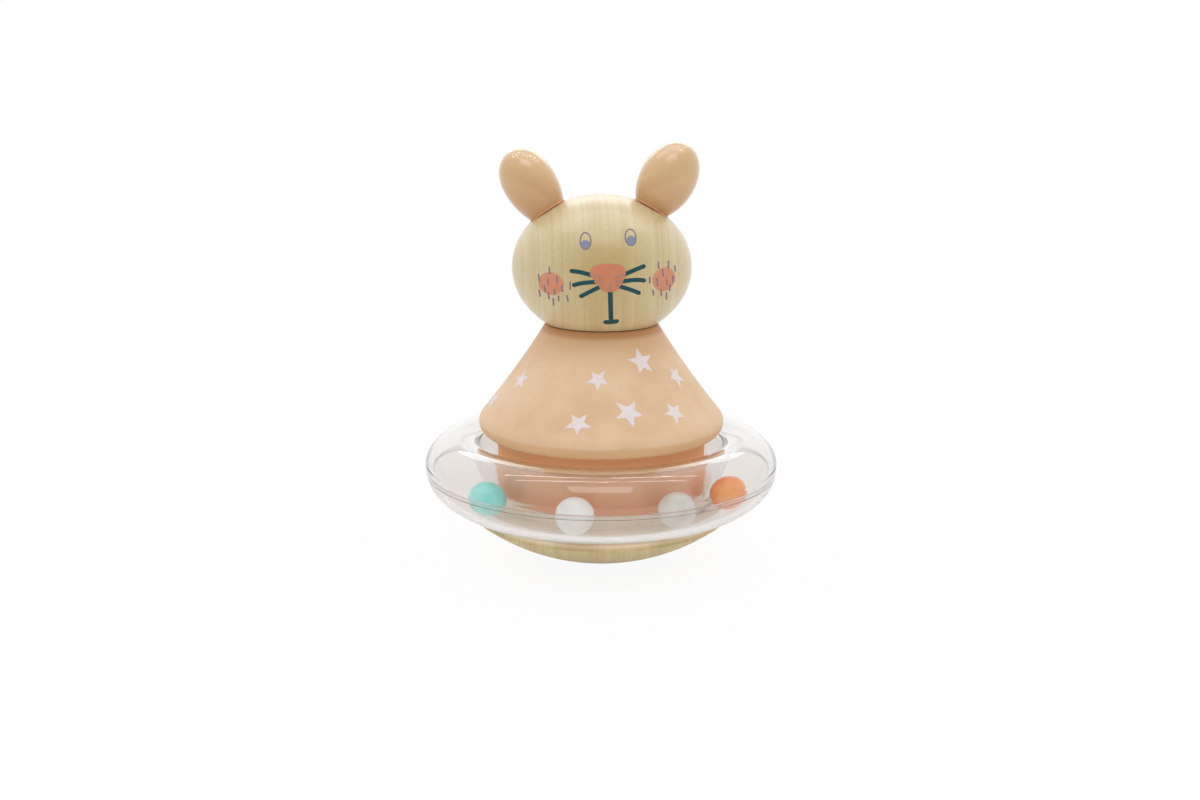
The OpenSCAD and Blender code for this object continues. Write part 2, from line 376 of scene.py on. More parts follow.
# %% Varnished wood
RINGS_SHOW = (0.3, 0.7, 0.4)  # pattern's value where it begins, where it is full, share
LINES_SHOW = (0.48, 0.68, 0.4)
FIBRES_SHOW = (0.35, 0.7, 0.35)
PORES_SHOW = (0.6, 0.75, 0.4)
WOOD_RELIEF, WOOD_BUMP = 0.04, 0.1  # mm that fibres stand out, and how strongly it is shaded
SMOOTHER, ROUGHER = 0.06, 0.08  # how far the fibres change the wood's roughness
VARNISH_ROUGHNESS = 0.3


def hardwood(name, pale, dark, pore, pith, roughness, coat, zones=(), figure=None):
    """Pale hardwood: pale, darkened towards dark by the rings, the lines and the fibres in turn,
    and towards the pores' colour in the pores. pith is the growth rings' middle in mm."""
    material, tree, output = blank_material(name)
    place = add(tree, "TexCoord").outputs["Object"]
    _, (rings, lines) = rings_about(tree, place, pith, RING_RISE, [GROWTH_RINGS, FINE_LINES])
    fibres, pores = streaks(tree, place, *FIBRES), streaks(tree, place, *PORES)
    wood = laid_over(tree, colour(pale), dark, rings, *RINGS_SHOW)
    wood = laid_over(tree, wood, dark, lines, *LINES_SHOW)
    if figure:
        wood = with_figure(tree, wood, place, *figure)
    wood = laid_over(tree, wood, dark, fibres, *FIBRES_SHOW)
    wood = laid_over(tree, wood, pore, pores, *PORES_SHOW)
    wood = toned_by_height(tree, wood, place, zones)
    sheen = add(
        tree,
        "MapRange",
        {"Value": fibres, "To Min": roughness - SMOOTHER, "To Max": roughness + ROUGHER},
    )
    bump = add(
        tree, "Bump", {"Height": fibres, "Strength": WOOD_BUMP, "Distance": WOOD_RELIEF * MM}
    )
    shader = add(
        tree,
        "BsdfPrincipled",
        {
            "Base Color": wood,
            "Roughness": sheen.outputs[0],
            "Normal": bump.outputs[0],
            "Coat Weight": coat,
            "Coat Roughness": VARNISH_ROUGHNESS,
        },
    )
    finish_with(tree, output, shader)
    return material


print("fibres stand out by", WOOD_RELIEF, "mm under the varnish")

# %% [markdown]
# The toy has three woods. The head has more varnish than the base, which rubs on the table. Painted
# light makes the base's shoulder under the ring paler, and painted shade makes its underside darker
# and yellower towards the table. These could be pieces of their own, but the grain runs on through
# them, so they are tones by height. The dowels are raw beech.

# %% The woods
BASE_PAINTED_LIGHT_AND_SHADE = [
    # painted light: the shoulder under the ring is paler
    (9.9, 10.5, "#fbeed6", 0.65),  # bare shoulder
    # painted shade: darker and yellower towards the underside, near the table
    (6.0, 0.5, "#b8935a", 0.75),  # yellower underside
]
head_wood = hardwood(
    "varnished_maple",
    "#e2d0a5",
    "#c9ae79",
    "#b0905c",
    (-118, -18, 0),
    roughness=0.4,
    coat=0.6,
    figure=FACE_FIGURE,
)
base_wood = hardwood(
    "varnished_maple_base",
    "#ddc894",
    "#c3a870",
    "#a58a58",
    (-132, -24, 0),
    roughness=0.55,
    coat=0.05,
    zones=BASE_PAINTED_LIGHT_AND_SHADE,
)
dowel_wood = hardwood(
    "raw_beech_dowel", "#dcc59c", "#c8a877", "#a5804f", (9, 4, 0), roughness=0.7, coat=0.0
)
print("wood finishes:", head_wood.name, base_wood.name, dowel_wood.name)

# %% [markdown]
# ## Paint on wood
# The dress and the ears are sprayed with an opaque peach paint. The film follows the sanded wood,
# so the grain shows through it very faintly, and the coat is a little cloudy. A flat colour would
# look like plastic, so the cloud and the grain are laid over the tone.

# %% Painted wood
CLOUDS_SHOW = (0.35, 0.7)  # pattern's value where a cloud begins and where it is full
PAINTED_GRAIN_SHOWS = (0.4, 0.75, 0.25)
PAINT_RELIEF, PAINT_BUMP = 0.05, 0.06  # mm that fibres stand out, and how strongly it is shaded
PAINT_UNEVEN = 0.05  # how far the clouds change the roughness
LACQUER_ROUGHNESS = 0.2


def paint(
    name, tone, cloud, roughness, coat=0.0, cloud_size=9.0, cloud_most=0.6, gloss=0.5, zones=()
):
    """Paint film: tone shading into cloud by soft noise of cloud_size mm, up to a share cloud_most,
    and a faint grain, whose relief a coat fills up. gloss is the specular level."""
    material, tree, output = blank_material(name)
    place = add(tree, "TexCoord").outputs["Object"]
    fibres = streaks(tree, place, *FIBRES)
    soft = add(
        tree, "TexNoise", {"Vector": place, "Scale": 1 / (cloud_size * MM), "Detail": 4.0}
    ).outputs["Fac"]
    coloured = laid_over(tree, colour(tone), cloud, soft, *CLOUDS_SHOW, cloud_most)
    coloured = laid_over(tree, coloured, cloud, fibres, *PAINTED_GRAIN_SHOWS)
    coloured = toned_by_height(tree, coloured, place, zones)
    sheen = add(
        tree,
        "MapRange",
        {"Value": soft, "To Min": roughness - PAINT_UNEVEN, "To Max": roughness + PAINT_UNEVEN},
    )
    bump = add(
        tree,
        "Bump",
        {"Height": fibres, "Strength": PAINT_BUMP * (1 - coat), "Distance": PAINT_RELIEF * MM},
    )
    shader = add(
        tree,
        "BsdfPrincipled",
        {
            "Base Color": coloured,
            "Roughness": sheen.outputs[0],
            "Normal": bump.outputs[0],
            "Specular IOR Level": gloss,
            "Coat Weight": coat,
            "Coat Roughness": LACQUER_ROUGHNESS,
        },
    )
    finish_with(tree, output, shader)
    return material


print("clouds in the paint are up to 9 mm across, unless a paint says otherwise")

# %% [markdown]
# The dress is satin. Its colour is darkened by painted shade on the turn and the underside of the
# rim, on the hub and on the cone under the head, and by a painted shadow of the head round the neck.
# The hub is also a deeper orange, painted bounce light from the paint round it. The ears have a
# thicker, glossier coat, which fills up the grain, and painted shade darkens them towards their
# feet. A brush in Texture Paint could add these tones, but all of them go right round, so a list of
# heights does it exactly.

# %% The paints
DRESS_PAINTED_SHADE = [
    # painted shade: the turn of the rim is darker
    (31.1, 30.6, "#e6ba8a", 1.0),  # the turn of the rim
    # painted shade: the rim's underside, which faces down, is darker and deeper in tone
    (28.9, 28.2, "#e09c66", 1.0),  # the rim's underside, where the coat is deeper
    # painted shade and painted bounce light: the hub under the rim is a deeper orange
    (26.0, 24.0, "#f0a86a", 1.0),  # the hub's upper part
    # painted shade: the hub's foot, between the rim and the base, is darker
    (21.0, 17.5, "#ea9452", 1.0),  # the hub's foot
    # painted shade: the cone is darker just under the head
    (45.5, 50.6, "#e6bb8f", 1.0),  # the narrow part of the cone
    # painted shadow of the head: a darker band round the neck
    (50.6, 51.5, "#cd9562", 1.0),  # paint gathered at the neck
]
# painted shade: the ears are darker towards their feet, next to the head
EAR_PAINTED_SHADE = [(84.5, 75.5, "#cb9460", 1.0)]  # the lacquer ran down and dried deeper at the feet
dress_paint = paint(
    "satin_peach_paint", "#f0cfab", "#e0b78c", roughness=0.5, cloud_most=0.7, zones=DRESS_PAINTED_SHADE
)
ear_paint = paint(
    "gloss_peach_paint", "#dfb987", "#d6aa78", roughness=0.36, coat=0.8, zones=EAR_PAINTED_SHADE
)
print("paints:", dress_paint.name, ear_paint.name)

# %% [markdown]
# The face and the stars are pad-printed: thin matt ink, a little worn and spotted, so it has hardly
# any shine. It could be an image laid on the wood, but a picture blurs when it is seen from near.
# Each ink is a material of its own, for a film of its own. The dried glue in the joints is dark at
# the neck, and at the ears it has taken up peach paint.


# %% Inks and glue
def ink(name, tone, worn, roughness, spots):
    """A printed film: paint clouded in spots of the given size in mm, with little shine."""
    return paint(name, tone, worn, roughness, cloud_size=spots, gloss=0.2)


whisker_print = ink("dark_teal_print", "#1c4e55", "#28595e", 0.55, 1.2)
coral_print = ink("coral_print", "#d98a67", "#cf805f", 0.6, 2.0)
cheek_print = ink("pale_coral_print", "#de9a7c", "#d68d6e", 0.6, 1.5)
through_print = ink("coral_over_teal_print", "#b98a74", "#c08670", 0.6, 0.8)
mauve_print = ink("mauve_print", "#80778a", "#918898", 0.6, 0.7)
eye_print = ink("eye_print", "#9396aa", "#8487a0", 0.55, 0.8)
star_print = paint(
    "worn_pale_print", "#f4ecf0", "#ead3c6", roughness=0.65, cloud_size=0.7, cloud_most=0.5
)
neck_glue = paint("dried_neck_glue", "#3d2212", "#4c2c18", roughness=0.5, cloud_size=0.8)
ear_glue = paint("dried_ear_glue", "#d99a72", "#e3a880", roughness=0.5, cloud_size=0.8)
print("inks:", whisker_print.name, coral_print.name, eye_print.name, star_print.name)

# %% [markdown]
# ## Clear plastic
# The ring is clear moulded styrene: hard, polished and a touch grey where one looks along its wall.
# It could be a plain see-through shader, but only walls with a refractive index bend the view of
# the beads and the hub behind them. A weak volume takes light by the length of wall that a ray
# crosses, which darkens the rim as in the real ring. Light that has to bend through two curved
# walls is hard to find, so rays that gather light, and rays that ask whether a lamp is hidden, pass
# straight through the plastic, and the beads and the hub are lit as they are in the open. The bowl
# hangs lowest and gets knocked, so it is a little scuffed.

# %% The clear plastic
PLASTIC_IOR = 1.5  # styrene, and close enough for the beads
WALL_DENSITY = 22.0  # per metre: a straight look through one wall of 1.3 mm loses about 2 %
FLOW_SIZE = 14.0  # mm across the faint flow marks that moulding leaves
FLOW_RELIEF, FLOW_BUMP = 0.3, 0.03  # mm of their relief, and how strongly it is shaded
POLISH = (0.02, 0.05)  # roughness


def clear_styrene(name, tone, clearness):
    """Clear plastic with faint flow marks in its gloss; what isn't clear in it is a grey haze."""
    material, tree, output = blank_material(name)
    place = add(tree, "TexCoord").outputs["Object"]
    flow = add(
        tree, "TexNoise", {"Vector": place, "Scale": 1 / (FLOW_SIZE * MM), "Detail": 2.0}
    ).outputs["Fac"]
    bump = add(
        tree, "Bump", {"Height": flow, "Strength": FLOW_BUMP, "Distance": FLOW_RELIEF * MM}
    )
    polish = add(tree, "MapRange", {"Value": flow, "To Min": POLISH[0], "To Max": POLISH[1]})
    clear = add(
        tree,
        "BsdfPrincipled",
        {
            "Base Color": colour(tone),
            "Roughness": polish.outputs[0],
            "Transmission Weight": clearness,
            "IOR": PLASTIC_IOR,
            "Normal": bump.outputs[0],
        },
    )
    passing = add(tree, "BsdfTransparent", {"Color": WHITE})
    path = add(tree, "LightPath")
    seen = clear
    for gathering in ("Is Diffuse Ray", "Is Shadow Ray"):
        seen = add(
            tree,
            "MixShader",
            {
                "Fac": path.outputs[gathering],
                "Shader": seen.outputs[0],
                "Shader_001": passing.outputs[0],
            },
        )
    finish_with(tree, output, seen)
    haze = add(
        tree, "VolumeAbsorption", {"Color": colour("#b9b2b4"), "Density": WALL_DENSITY}
    )
    tree.links.new(haze.outputs[0], output.inputs["Volume"])
    return material


ring_plastic = clear_styrene("clear_styrene", "#f6f5f4", 0.992)
bowl_plastic = clear_styrene("clear_styrene_scuffed", "#f3efeb", 0.92)
print("clear plastics:", ring_plastic.name, bowl_plastic.name)

# %% [markdown]
# ## The beads' plastic
# The beads are small moulded balls. Their gloss is high, and the colour in the plastic isn't quite
# even, which a soft noise gives them. The pearl one lets some light through, as milky plastic does.
# Scattering under the skin would be truer to it, but at this size a share of plain transmission
# looks the same and is much quicker.

# %% The bead plastics
BEAD_CLOUD_SIZE = 3.5  # mm
BEAD_CLOUDS_SHOW = (0.35, 0.65, 1.0)
BEAD_UNEVEN = 0.04  # how far the clouds change the roughness


def bead_plastic(name, tone, cloud, roughness, see_through=0.0):
    """Moulded bead: a glossy skin over a slightly cloudy body colour."""
    material, tree, output = blank_material(name)
    place = add(tree, "TexCoord").outputs["Object"]
    soft = add(
        tree, "TexNoise", {"Vector": place, "Scale": 1 / (BEAD_CLOUD_SIZE * MM), "Detail": 3.0}
    ).outputs["Fac"]
    gloss = add(
        tree,
        "MapRange",
        {"Value": soft, "To Min": roughness - BEAD_UNEVEN, "To Max": roughness + BEAD_UNEVEN},
    )
    shader = add(
        tree,
        "BsdfPrincipled",
        {
            "Base Color": laid_over(tree, colour(tone), cloud, soft, *BEAD_CLOUDS_SHOW),
            "Roughness": gloss.outputs[0],
            "IOR": PLASTIC_IOR,
            "Transmission Weight": see_through,
        },
    )
    finish_with(tree, output, shader)
    return material


BEADS = {
    "teal": bead_plastic("teal_bead_plastic", "#7ae4de", "#a4f2ee", 0.18),
    "white": bead_plastic("white_bead_plastic", "#f6f4f2", "#efedea", 0.22),
    "pearl": bead_plastic("pearl_bead_plastic", "#fbf9f4", "#e8e4dc", 0.12, see_through=0.36),
    "orange": bead_plastic("orange_bead_plastic", "#fc8606", "#ffa84c", 0.16),
}
print("bead plastics:", ", ".join(BEADS))

# %% [markdown]
# ## Steel
# The steel ring in the base is turned on a lathe, which leaves fine circles round the axis. It is
# never seen from outside, but it is part of the toy, so it gets its own finish. The circles could
# be turned into the mesh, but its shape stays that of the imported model, so they only change the
# roughness.

# %% The steel
MARK_SPACING, MARK_WOBBLE = 0.4, 0.6  # mm between the marks, and how unsteady they are
STEEL_ROUGHNESS = (0.3, 0.45)
WAVE_PERIOD = 2 * np.pi / 20  # length of one ring of the Wave texture at scale 1


def turned_steel(name):
    """Plain steel with turning marks, which roughen it in circles."""
    material, tree, output = blank_material(name)
    place = add(tree, "TexCoord").outputs["Object"]
    scale = WAVE_PERIOD / (MARK_SPACING * MM)
    marks = add(
        tree,
        "TexWave",
        {"Vector": place, "Scale": scale, "Distortion": MARK_WOBBLE},
        wave_type="RINGS",
        rings_direction="Z",
    ).outputs["Fac"]
    least, most = STEEL_ROUGHNESS
    rough = add(tree, "MapRange", {"Value": marks, "To Min": least, "To Max": most})
    shader = add(
        tree,
        "BsdfPrincipled",
        {"Base Color": colour("#8f9295"), "Metallic": 1.0, "Roughness": rough.outputs[0]},
    )
    finish_with(tree, output, shader)
    return material


steel = turned_steel("turned_steel")
print("steel:", steel.name, "with marks", MARK_SPACING, "mm apart")

# %% [markdown]
# ## The base
# The base has a round underside that the toy rocks on, a narrow shoulder that carries the ring, and
# a boss that meets the painted hub. A pocket holds the steel ring and a bore the dowel. It could be
# cut from a sphere with Boolean modifiers, which leave ragged edges. One profile round the whole
# section gives the underside, the pocket and the bore at once: the underside is part of a sphere of
# 45.8 mm radius, which makes the toy rock evenly, with a small flat of 9 mm that it stands on.

# %% Turn the base
# All sizes are in mm, and heights are counted from the table.
HUB_RADIUS, HUB_JOINT = 23.0, 15.3  # the hub, and the height where its wood meets the base's
BORE = 4.05  # radius of the bores for the 8 mm dowels
DOME, FOOT = 45.8, 4.5  # radii of the underside's sphere and of the flat
SHOULDER_RADIUS, SHOULDER, SHOULDER_EDGE = 28.4, 10.6, 0.9  # and how far the edge slants in
POCKET_RADIUS, POCKET_FLOOR, BASE_BORE_END = 17.2, 8.0, 2.8
DOME_POINTS, DOME_EASE = 60, 0.25  # only the ends of the arc are corners, and are eased

dome_middle = np.sqrt(DOME**2 - FOOT**2)
dome_angle = np.linspace(np.arcsin(FOOT / DOME), np.arcsin(SHOULDER_RADIUS / DOME), DOME_POINTS)
dome_line = [
    (DOME * np.sin(a), dome_middle - DOME * np.cos(a), DOME_EASE * (i in (0, DOME_POINTS - 1)))
    for i, a in enumerate(dome_angle)
]
base_profile = eased(
    [
        (0, 0, 0),
        *dome_line,
        (SHOULDER_RADIUS - SHOULDER_EDGE, SHOULDER, 0.3),
        (HUB_RADIUS, SHOULDER, 0.2),
        (HUB_RADIUS, HUB_JOINT, 0.15),
        (POCKET_RADIUS, HUB_JOINT, 0.2),
        (POCKET_RADIUS, POCKET_FLOOR, 0.2),
        (BORE, POCKET_FLOOR, 0.1),
        (BORE, BASE_BORE_END, 0),
        (0, BASE_BORE_END, 0),
    ]
)
base_grid = carried_round(base_profile)
piece("rocking_base", base_grid, "toy", base_wood, replaces=["base"])

# %% [markdown]
# ## The dress and its hub
# One turned piece makes the cone of the dress and, under its rounded rim, the straight hub that the
# ring turns on. A cone and a cylinder with bevelled edges would come close. But the side of the
# real cone is hollowed by half a millimetre, as the tool left it, and its rim is a full round, so
# both are drawn in the profile: the side by a formula that the stars use too, the rim as an arc.

# %% Turn the dress
RIM_MIDDLE, RIM_ROUND = np.array([24.2, 30.9]), 2.9  # middle (r, z) and radius of the rim's arc
RIM_TURN = np.radians(38)  # how far past level the arc runs, where it meets the side
RIM_UNDERSIDE = 28.0
NECK_HEIGHT, NECK_RADIUS, BOW = 52.45, 12.4, 0.5
HUB_BORE_END, NECK_BORE_START = 27.8, 41.95  # the wood between them is solid

side_end = RIM_MIDDLE + RIM_ROUND * np.array([np.cos(RIM_TURN), np.sin(RIM_TURN)])


def dress_radius(z):
    """Radius of the cone's side at height z: a straight line from neck to rim less a shallow bow,
    r = neck + (rim - neck) t - 4 bow t (1 - t), with t from 0 at the neck to 1 at the rim."""
    t = (NECK_HEIGHT - z) / (NECK_HEIGHT - side_end[1])
    return NECK_RADIUS + (side_end[0] - NECK_RADIUS) * t - 4 * BOW * t * (1 - t)


rim_angles = np.linspace(-np.pi / 2, RIM_TURN, 28)
rim_line = RIM_MIDDLE + RIM_ROUND * np.stack([np.cos(rim_angles), np.sin(rim_angles)], 1)
side_heights = np.linspace(side_end[1], NECK_HEIGHT - 0.15, 40)[1:]
side_line = np.stack([dress_radius(side_heights), side_heights], axis=1)
smooth = [(r, z, 0) for r, z in np.vstack([rim_line, side_line])]
dress_profile = eased(
    [
        (0, HUB_BORE_END, 0),
        (BORE, HUB_BORE_END, 0),
        (BORE, HUB_JOINT, 0.1),
        (HUB_RADIUS, HUB_JOINT, 0.25),
        (HUB_RADIUS, RIM_UNDERSIDE, 0.5),
        *smooth,
        (NECK_RADIUS - 0.3, NECK_HEIGHT, 0.1),
        (BORE, NECK_HEIGHT, 0.1),
        (BORE, NECK_BORE_START, 0),
        (0, NECK_BORE_START, 0),
    ]
)
dress_grid = carried_round(dress_profile)
piece("mouse_dress", dress_grid, "toy", dress_paint, replaces=["body"])

# %% [markdown]
# ## The head
# The head is an oval of revolution, 39.1 mm wide and 31.3 mm high, cut flat where it sits on the
# dress. A UV sphere could be scaled and cut, but its bore for the neck dowel would then have to be
# joined to it. In a profile the bore is simply part of the line, and the mesh is closed.

# %% Turn the head
HEAD_RADIUS, HEAD_HALF_HEIGHT, HEAD_MIDDLE = 19.55, 15.65, 64.9
HEAD_BORE_END = 62.95

cut_angle = np.arcsin((NECK_HEIGHT - HEAD_MIDDLE) / HEAD_HALF_HEIGHT)
oval = np.linspace(cut_angle, np.pi / 2, 90)
head_line = [
    (HEAD_RADIUS * np.cos(q), HEAD_MIDDLE + HEAD_HALF_HEIGHT * np.sin(q), 0) for q in oval[1:-1]
]
head_profile = eased(
    [
        (0, HEAD_BORE_END, 0),
        (BORE, HEAD_BORE_END, 0),
        (BORE, NECK_HEIGHT, 0.1),
        (HEAD_RADIUS * np.cos(cut_angle), NECK_HEIGHT, 0.2),
        *head_line,
        (0, HEAD_MIDDLE + HEAD_HALF_HEIGHT, 0),
    ]
)
head_grid = carried_round(head_profile)
piece("mouse_head", head_grid, "toy", head_wood, replaces=["head"])

# %% [markdown]
# ## The ears
# Each ear is a small egg turned on its own axis and cut flat at the foot. A stretched sphere has
# the same curve at both ends, while these are fuller towards the tip, so the radius follows a
# formula with a fullness of its own. An ear is made upright, then tipped back and to the side and
# put in its place, all in its mesh, because a finished object has to stay at the origin. The two
# eggs differ a little, as hand-finished ones do.

# %% Turn the ears
EAR_BORE, PIN_IN_EAR = 2.05, 5.0  # radius and depth of the bore for a 4 mm dowel
EAR_BEHIND, EAR_TIPPED = 0.8, 8.0  # mm behind the head's middle, degrees tipped back
EARS = {  # half length, radius, fullness, splay in degrees, x, height, foot as a share
    "left": (9.6, 5.7, 0.35, -33.7, -14.8, 81.55, 0.6),
    "right": (8.9, 6.1, 0.09, 30.4, 14.0, 83.5, 0.78),
}


def egg_radius(s, radius, fullness):
    """Radius of an egg at s, the share of its half length above the middle:
    r = radius * sqrt((1 - s^2)(1 + fullness s))."""
    return radius * np.sqrt(np.maximum((1 - s**2) * (1 + fullness * s), 0))


def at_ear(points, splay, x, height):
    """Moves points from the egg's own frame to its place: tipped back, then splayed, then moved."""
    tipped = Matrix.Rotation(-np.radians(EAR_TIPPED), 3, "X")
    turned = Matrix.Rotation(np.radians(splay), 3, "Y") @ tipped
    return points @ np.array(turned).T + [x, EAR_BEHIND, height]


def ear_grid(half, radius, fullness, splay, x, height, foot):
    """The ear's surface: the egg from its flat foot to its tip, with the bore for its dowel."""
    s = -foot + (1 + foot) * np.sin(np.linspace(0, np.pi / 2, 70))
    side = [(r, half * h, 0) for r, h in zip(egg_radius(s, radius, fullness)[1:-1], s[1:-1])]
    base = -foot * half
    profile = eased(
        [
            (0, base + PIN_IN_EAR, 0),
            (EAR_BORE, base + PIN_IN_EAR, 0),
            (EAR_BORE, base, 0.1),
            (egg_radius(-foot, radius, fullness), base, 0.1),
            *side,
            (0, half, 0),
        ],
        step=0.5,
    )
    return at_ear(carried_round(profile, 144), splay, x, height)


for side, shape in EARS.items():
    name, node = f"mouse_{side}_ear", f"{side}_ear"
    piece(name, ear_grid(*shape), "toy", ear_paint, replaces=[node])

# %% [markdown]
# ## The joints' glue lines
# Where the ears and the head are glued on, a hair of dried glue colours the joint. A dark line in
# the paint's pattern would end in mid-air at the wood, so it is a thin round bead along the line
# where the two surfaces meet. At the neck that line is a circle. At an ear it is found by following
# each of the ear's meridians from the foot upward until it leaves the head's oval.


# %% Lay the glue lines
def bead_along(path, radius, axis, turns=10):
    """Closed round bead: path + radius (cos a * across + sin a * up), square to the path."""
    along = np.roll(path, -1, axis=0) - np.roll(path, 1, axis=0)
    across = np.cross(along, axis)
    across /= np.linalg.norm(across, axis=1, keepdims=True)
    up = np.cross(across, along)
    up /= np.linalg.norm(up, axis=1, keepdims=True)
    a = np.arange(turns)[:, None] * 2 * np.pi / turns
    ring = np.cos(a)[..., None] * across + np.sin(a)[..., None] * up
    return (path + radius * ring).transpose(1, 0, 2)


def ear_joint(half, radius, fullness, splay, x, height, foot, meridians=96):
    """Points where the ear's meridians leave the head: the head's oval has the value 1 there."""
    s = np.linspace(-foot, 0.2, 400)
    a = np.arange(meridians) * 2 * np.pi / meridians
    r = egg_radius(s, radius, fullness)[:, None]
    upright = np.stack([r * np.cos(a), r * np.sin(a), half * s[:, None] + 0 * a], axis=-1)
    placed = at_ear(upright, splay, x, height)
    oval = [HEAD_RADIUS, HEAD_RADIUS, HEAD_HALF_HEIGHT]
    value = (((placed - [0, 0, HEAD_MIDDLE]) / oval) ** 2).sum(-1)
    leaves = np.argmax(value > 1, axis=0)
    return placed[leaves, np.arange(meridians)]


EAR_GLUE_RADIUS, NECK_GLUE_RADIUS = 0.25, 0.26
NECK_GLUE_INSET = 0.02  # mm that the bead's middle lies inside the head's edge
for side, shape in EARS.items():
    axis = at_ear(np.array([[0.0, 0, 1], [0, 0, 0]]), *shape[3:6])
    ear_bead = bead_along(ear_joint(*shape), EAR_GLUE_RADIUS, axis[0] - axis[1])
    piece(f"glue_line_{side}_ear", ear_bead, "toy", ear_glue, wrap_rows=True)
neck_radius = HEAD_RADIUS * np.cos(cut_angle) - NECK_GLUE_INSET
neck_line = carried_round(np.array([[neck_radius, NECK_HEIGHT]]))[0]
neck_bead = bead_along(neck_line, NECK_GLUE_RADIUS, np.array([0, 0, 1.0]))
piece("glue_line_neck", neck_bead, "toy", neck_glue, wrap_rows=True)

# %% [markdown]
# ## The printed face
# The face is pad-printed on the front of the head. An image as a decal would be quick, but it is
# only as sharp as its pixels, so each printed shape is a very thin closed film: its top lies a few
# hundredths of a millimetre above the wood and its edge sinks into it. A shape is drawn flat, as an
# outline seen from the front in mm across and up, and laid straight back on to the oval. The
# outline is filled by shrinking it towards its middle.

# %% Print films
FILM_EDGE = 0.06  # mm over which a film's top falls to its edge
FILM_EDGE_MOST = 0.4  # and the most of a narrow shape that this may take
FILM_BELOW = 0.03  # mm that its underside lies below the surface


def film(outline, lay, lift, rings=4):
    """Closed film over an outline (n, 2): shares of the way from its middle to its edge give the
    top's rings, the edge lies on the surface, and the underside runs back below it."""
    middle = outline.mean(0)
    reach = np.linalg.norm(outline - middle, axis=1)[:, None]
    inner = 1 - np.minimum(FILM_EDGE / reach, FILM_EDGE_MOST)
    top = [*(k / rings * inner for k in range(rings)), inner]
    edge = [(np.ones_like(reach), 0.0)]
    rows = [(k, lift) for k in top] + edge + [(k, -FILM_BELOW) for k in top[::-1]]
    return np.stack([lay(middle + (outline - middle) * k, up) for k, up in rows])


def on_head(flat, lift):
    """Point (x, z) laid back on the head's oval: y = -R sqrt(1 - (x/R)^2 - ((z-m)/h)^2), then moved
    out by lift along the oval's normal."""
    x, z = flat[:, 0], flat[:, 1] - HEAD_MIDDLE
    y = -HEAD_RADIUS * np.sqrt(1 - (x / HEAD_RADIUS) ** 2 - (z / HEAD_HALF_HEIGHT) ** 2)
    normal = np.stack([x / HEAD_RADIUS**2, y / HEAD_RADIUS**2, z / HEAD_HALF_HEIGHT**2], axis=1)
    normal /= np.linalg.norm(normal, axis=1, keepdims=True)
    return np.stack([x, y, flat[:, 1]], axis=1) + lift * normal


forehead = on_head(np.array([[0.0, HEAD_MIDDLE + 8]]), 0.0)[0]
print("a point 8 mm above the head's middle lies at", forehead.round(2), "mm")

# %% [markdown]
# The shapes of the face are ovals, strokes and one smooth loop. They could be drawn as Bezier
# curves in the viewport. As formulas, each takes only a few points that were measured on the face.


# %% Shapes to print
def turned_by(flat, tilt):
    """Flat points turned counter-clockwise by tilt degrees."""
    c, s = np.cos(np.radians(tilt)), np.sin(np.radians(tilt))
    return flat @ np.array([[c, s], [-s, c]])


def ellipse(middle, half, tilt=0.0, count=48):
    """Outline of an ellipse: (half width cos a, half height sin a), turned, about its middle."""
    a = np.arange(count) * 2 * np.pi / count
    flat = np.stack([half[0] * np.cos(a), half[1] * np.sin(a)], axis=1)
    return turned_by(flat, tilt) + middle


def brush_stroke(start, bend, end, width, count=12):
    """Outline of a round-ended stroke along start(1-t)^2 + 2 control t(1-t) + end t^2, where
    control = 2 bend - (start + end) / 2, so that the curve passes through bend."""
    start, bend, end = (np.array(p, float) for p in (start, bend, end))
    control = 2 * bend - (start + end) / 2
    t = np.linspace(0, 1, count)[:, None]
    line = start * (1 - t) ** 2 + 2 * control * t * (1 - t) + end * t**2
    way = np.gradient(line, axis=0)
    way /= np.linalg.norm(way, axis=1, keepdims=True)
    side = np.stack([-way[:, 1], way[:, 0]], axis=1)
    half = width / 2
    a = np.linspace(0, np.pi, 9)[1:-1, None]
    nose = line[-1] + half * (np.cos(a) * side[-1] + np.sin(a) * way[-1])
    tail = line[0] - half * (np.cos(a) * side[0] + np.sin(a) * way[0])
    outline = np.vstack([line + half * side, nose, (line - half * side)[::-1], tail])
    return outline[::-1]


def rounded_loop(corners, count=72):
    """Smooth closed outline round corners: their distance from the middle, read by angle along
    straight lines from corner to corner and then averaged over five neighbours, 1-2-3-2-1."""
    corners = np.array(corners, float)
    middle = corners.mean(0)
    away = corners - middle
    angle = np.arctan2(away[:, 1], away[:, 0])
    order = np.argsort(angle)
    angle, reach = angle[order], np.linalg.norm(away, axis=1)[order]
    a = np.linspace(-np.pi, np.pi, count, endpoint=False)
    wrapped = np.r_[angle - 2 * np.pi, angle, angle + 2 * np.pi]
    r = np.interp(a, wrapped, np.tile(reach, 3))
    blur = np.array([1, 2, 3, 2, 1]) / 9
    r = np.convolve(np.r_[r[-2:], r, r[:2]], blur, mode="valid")
    return middle + r[:, None] * np.stack([np.cos(a), np.sin(a)], axis=1)


trial = brush_stroke((0, 0), (2, 1), (4, 0), 0.9)
print("a trial stroke is", np.ptp(trial, axis=0).round(2), "mm across and up")

# %% [markdown]
# The whiskers and the mouth are printed first. The nose goes over their inner ends, which show
# through it as faint darker strokes. A see-through nose would show them too, but it would also let
# the wood through, so the faint strokes are films of their own on top. Every layer lies a little
# higher than the one before, so that no two films share a surface, which would flicker.

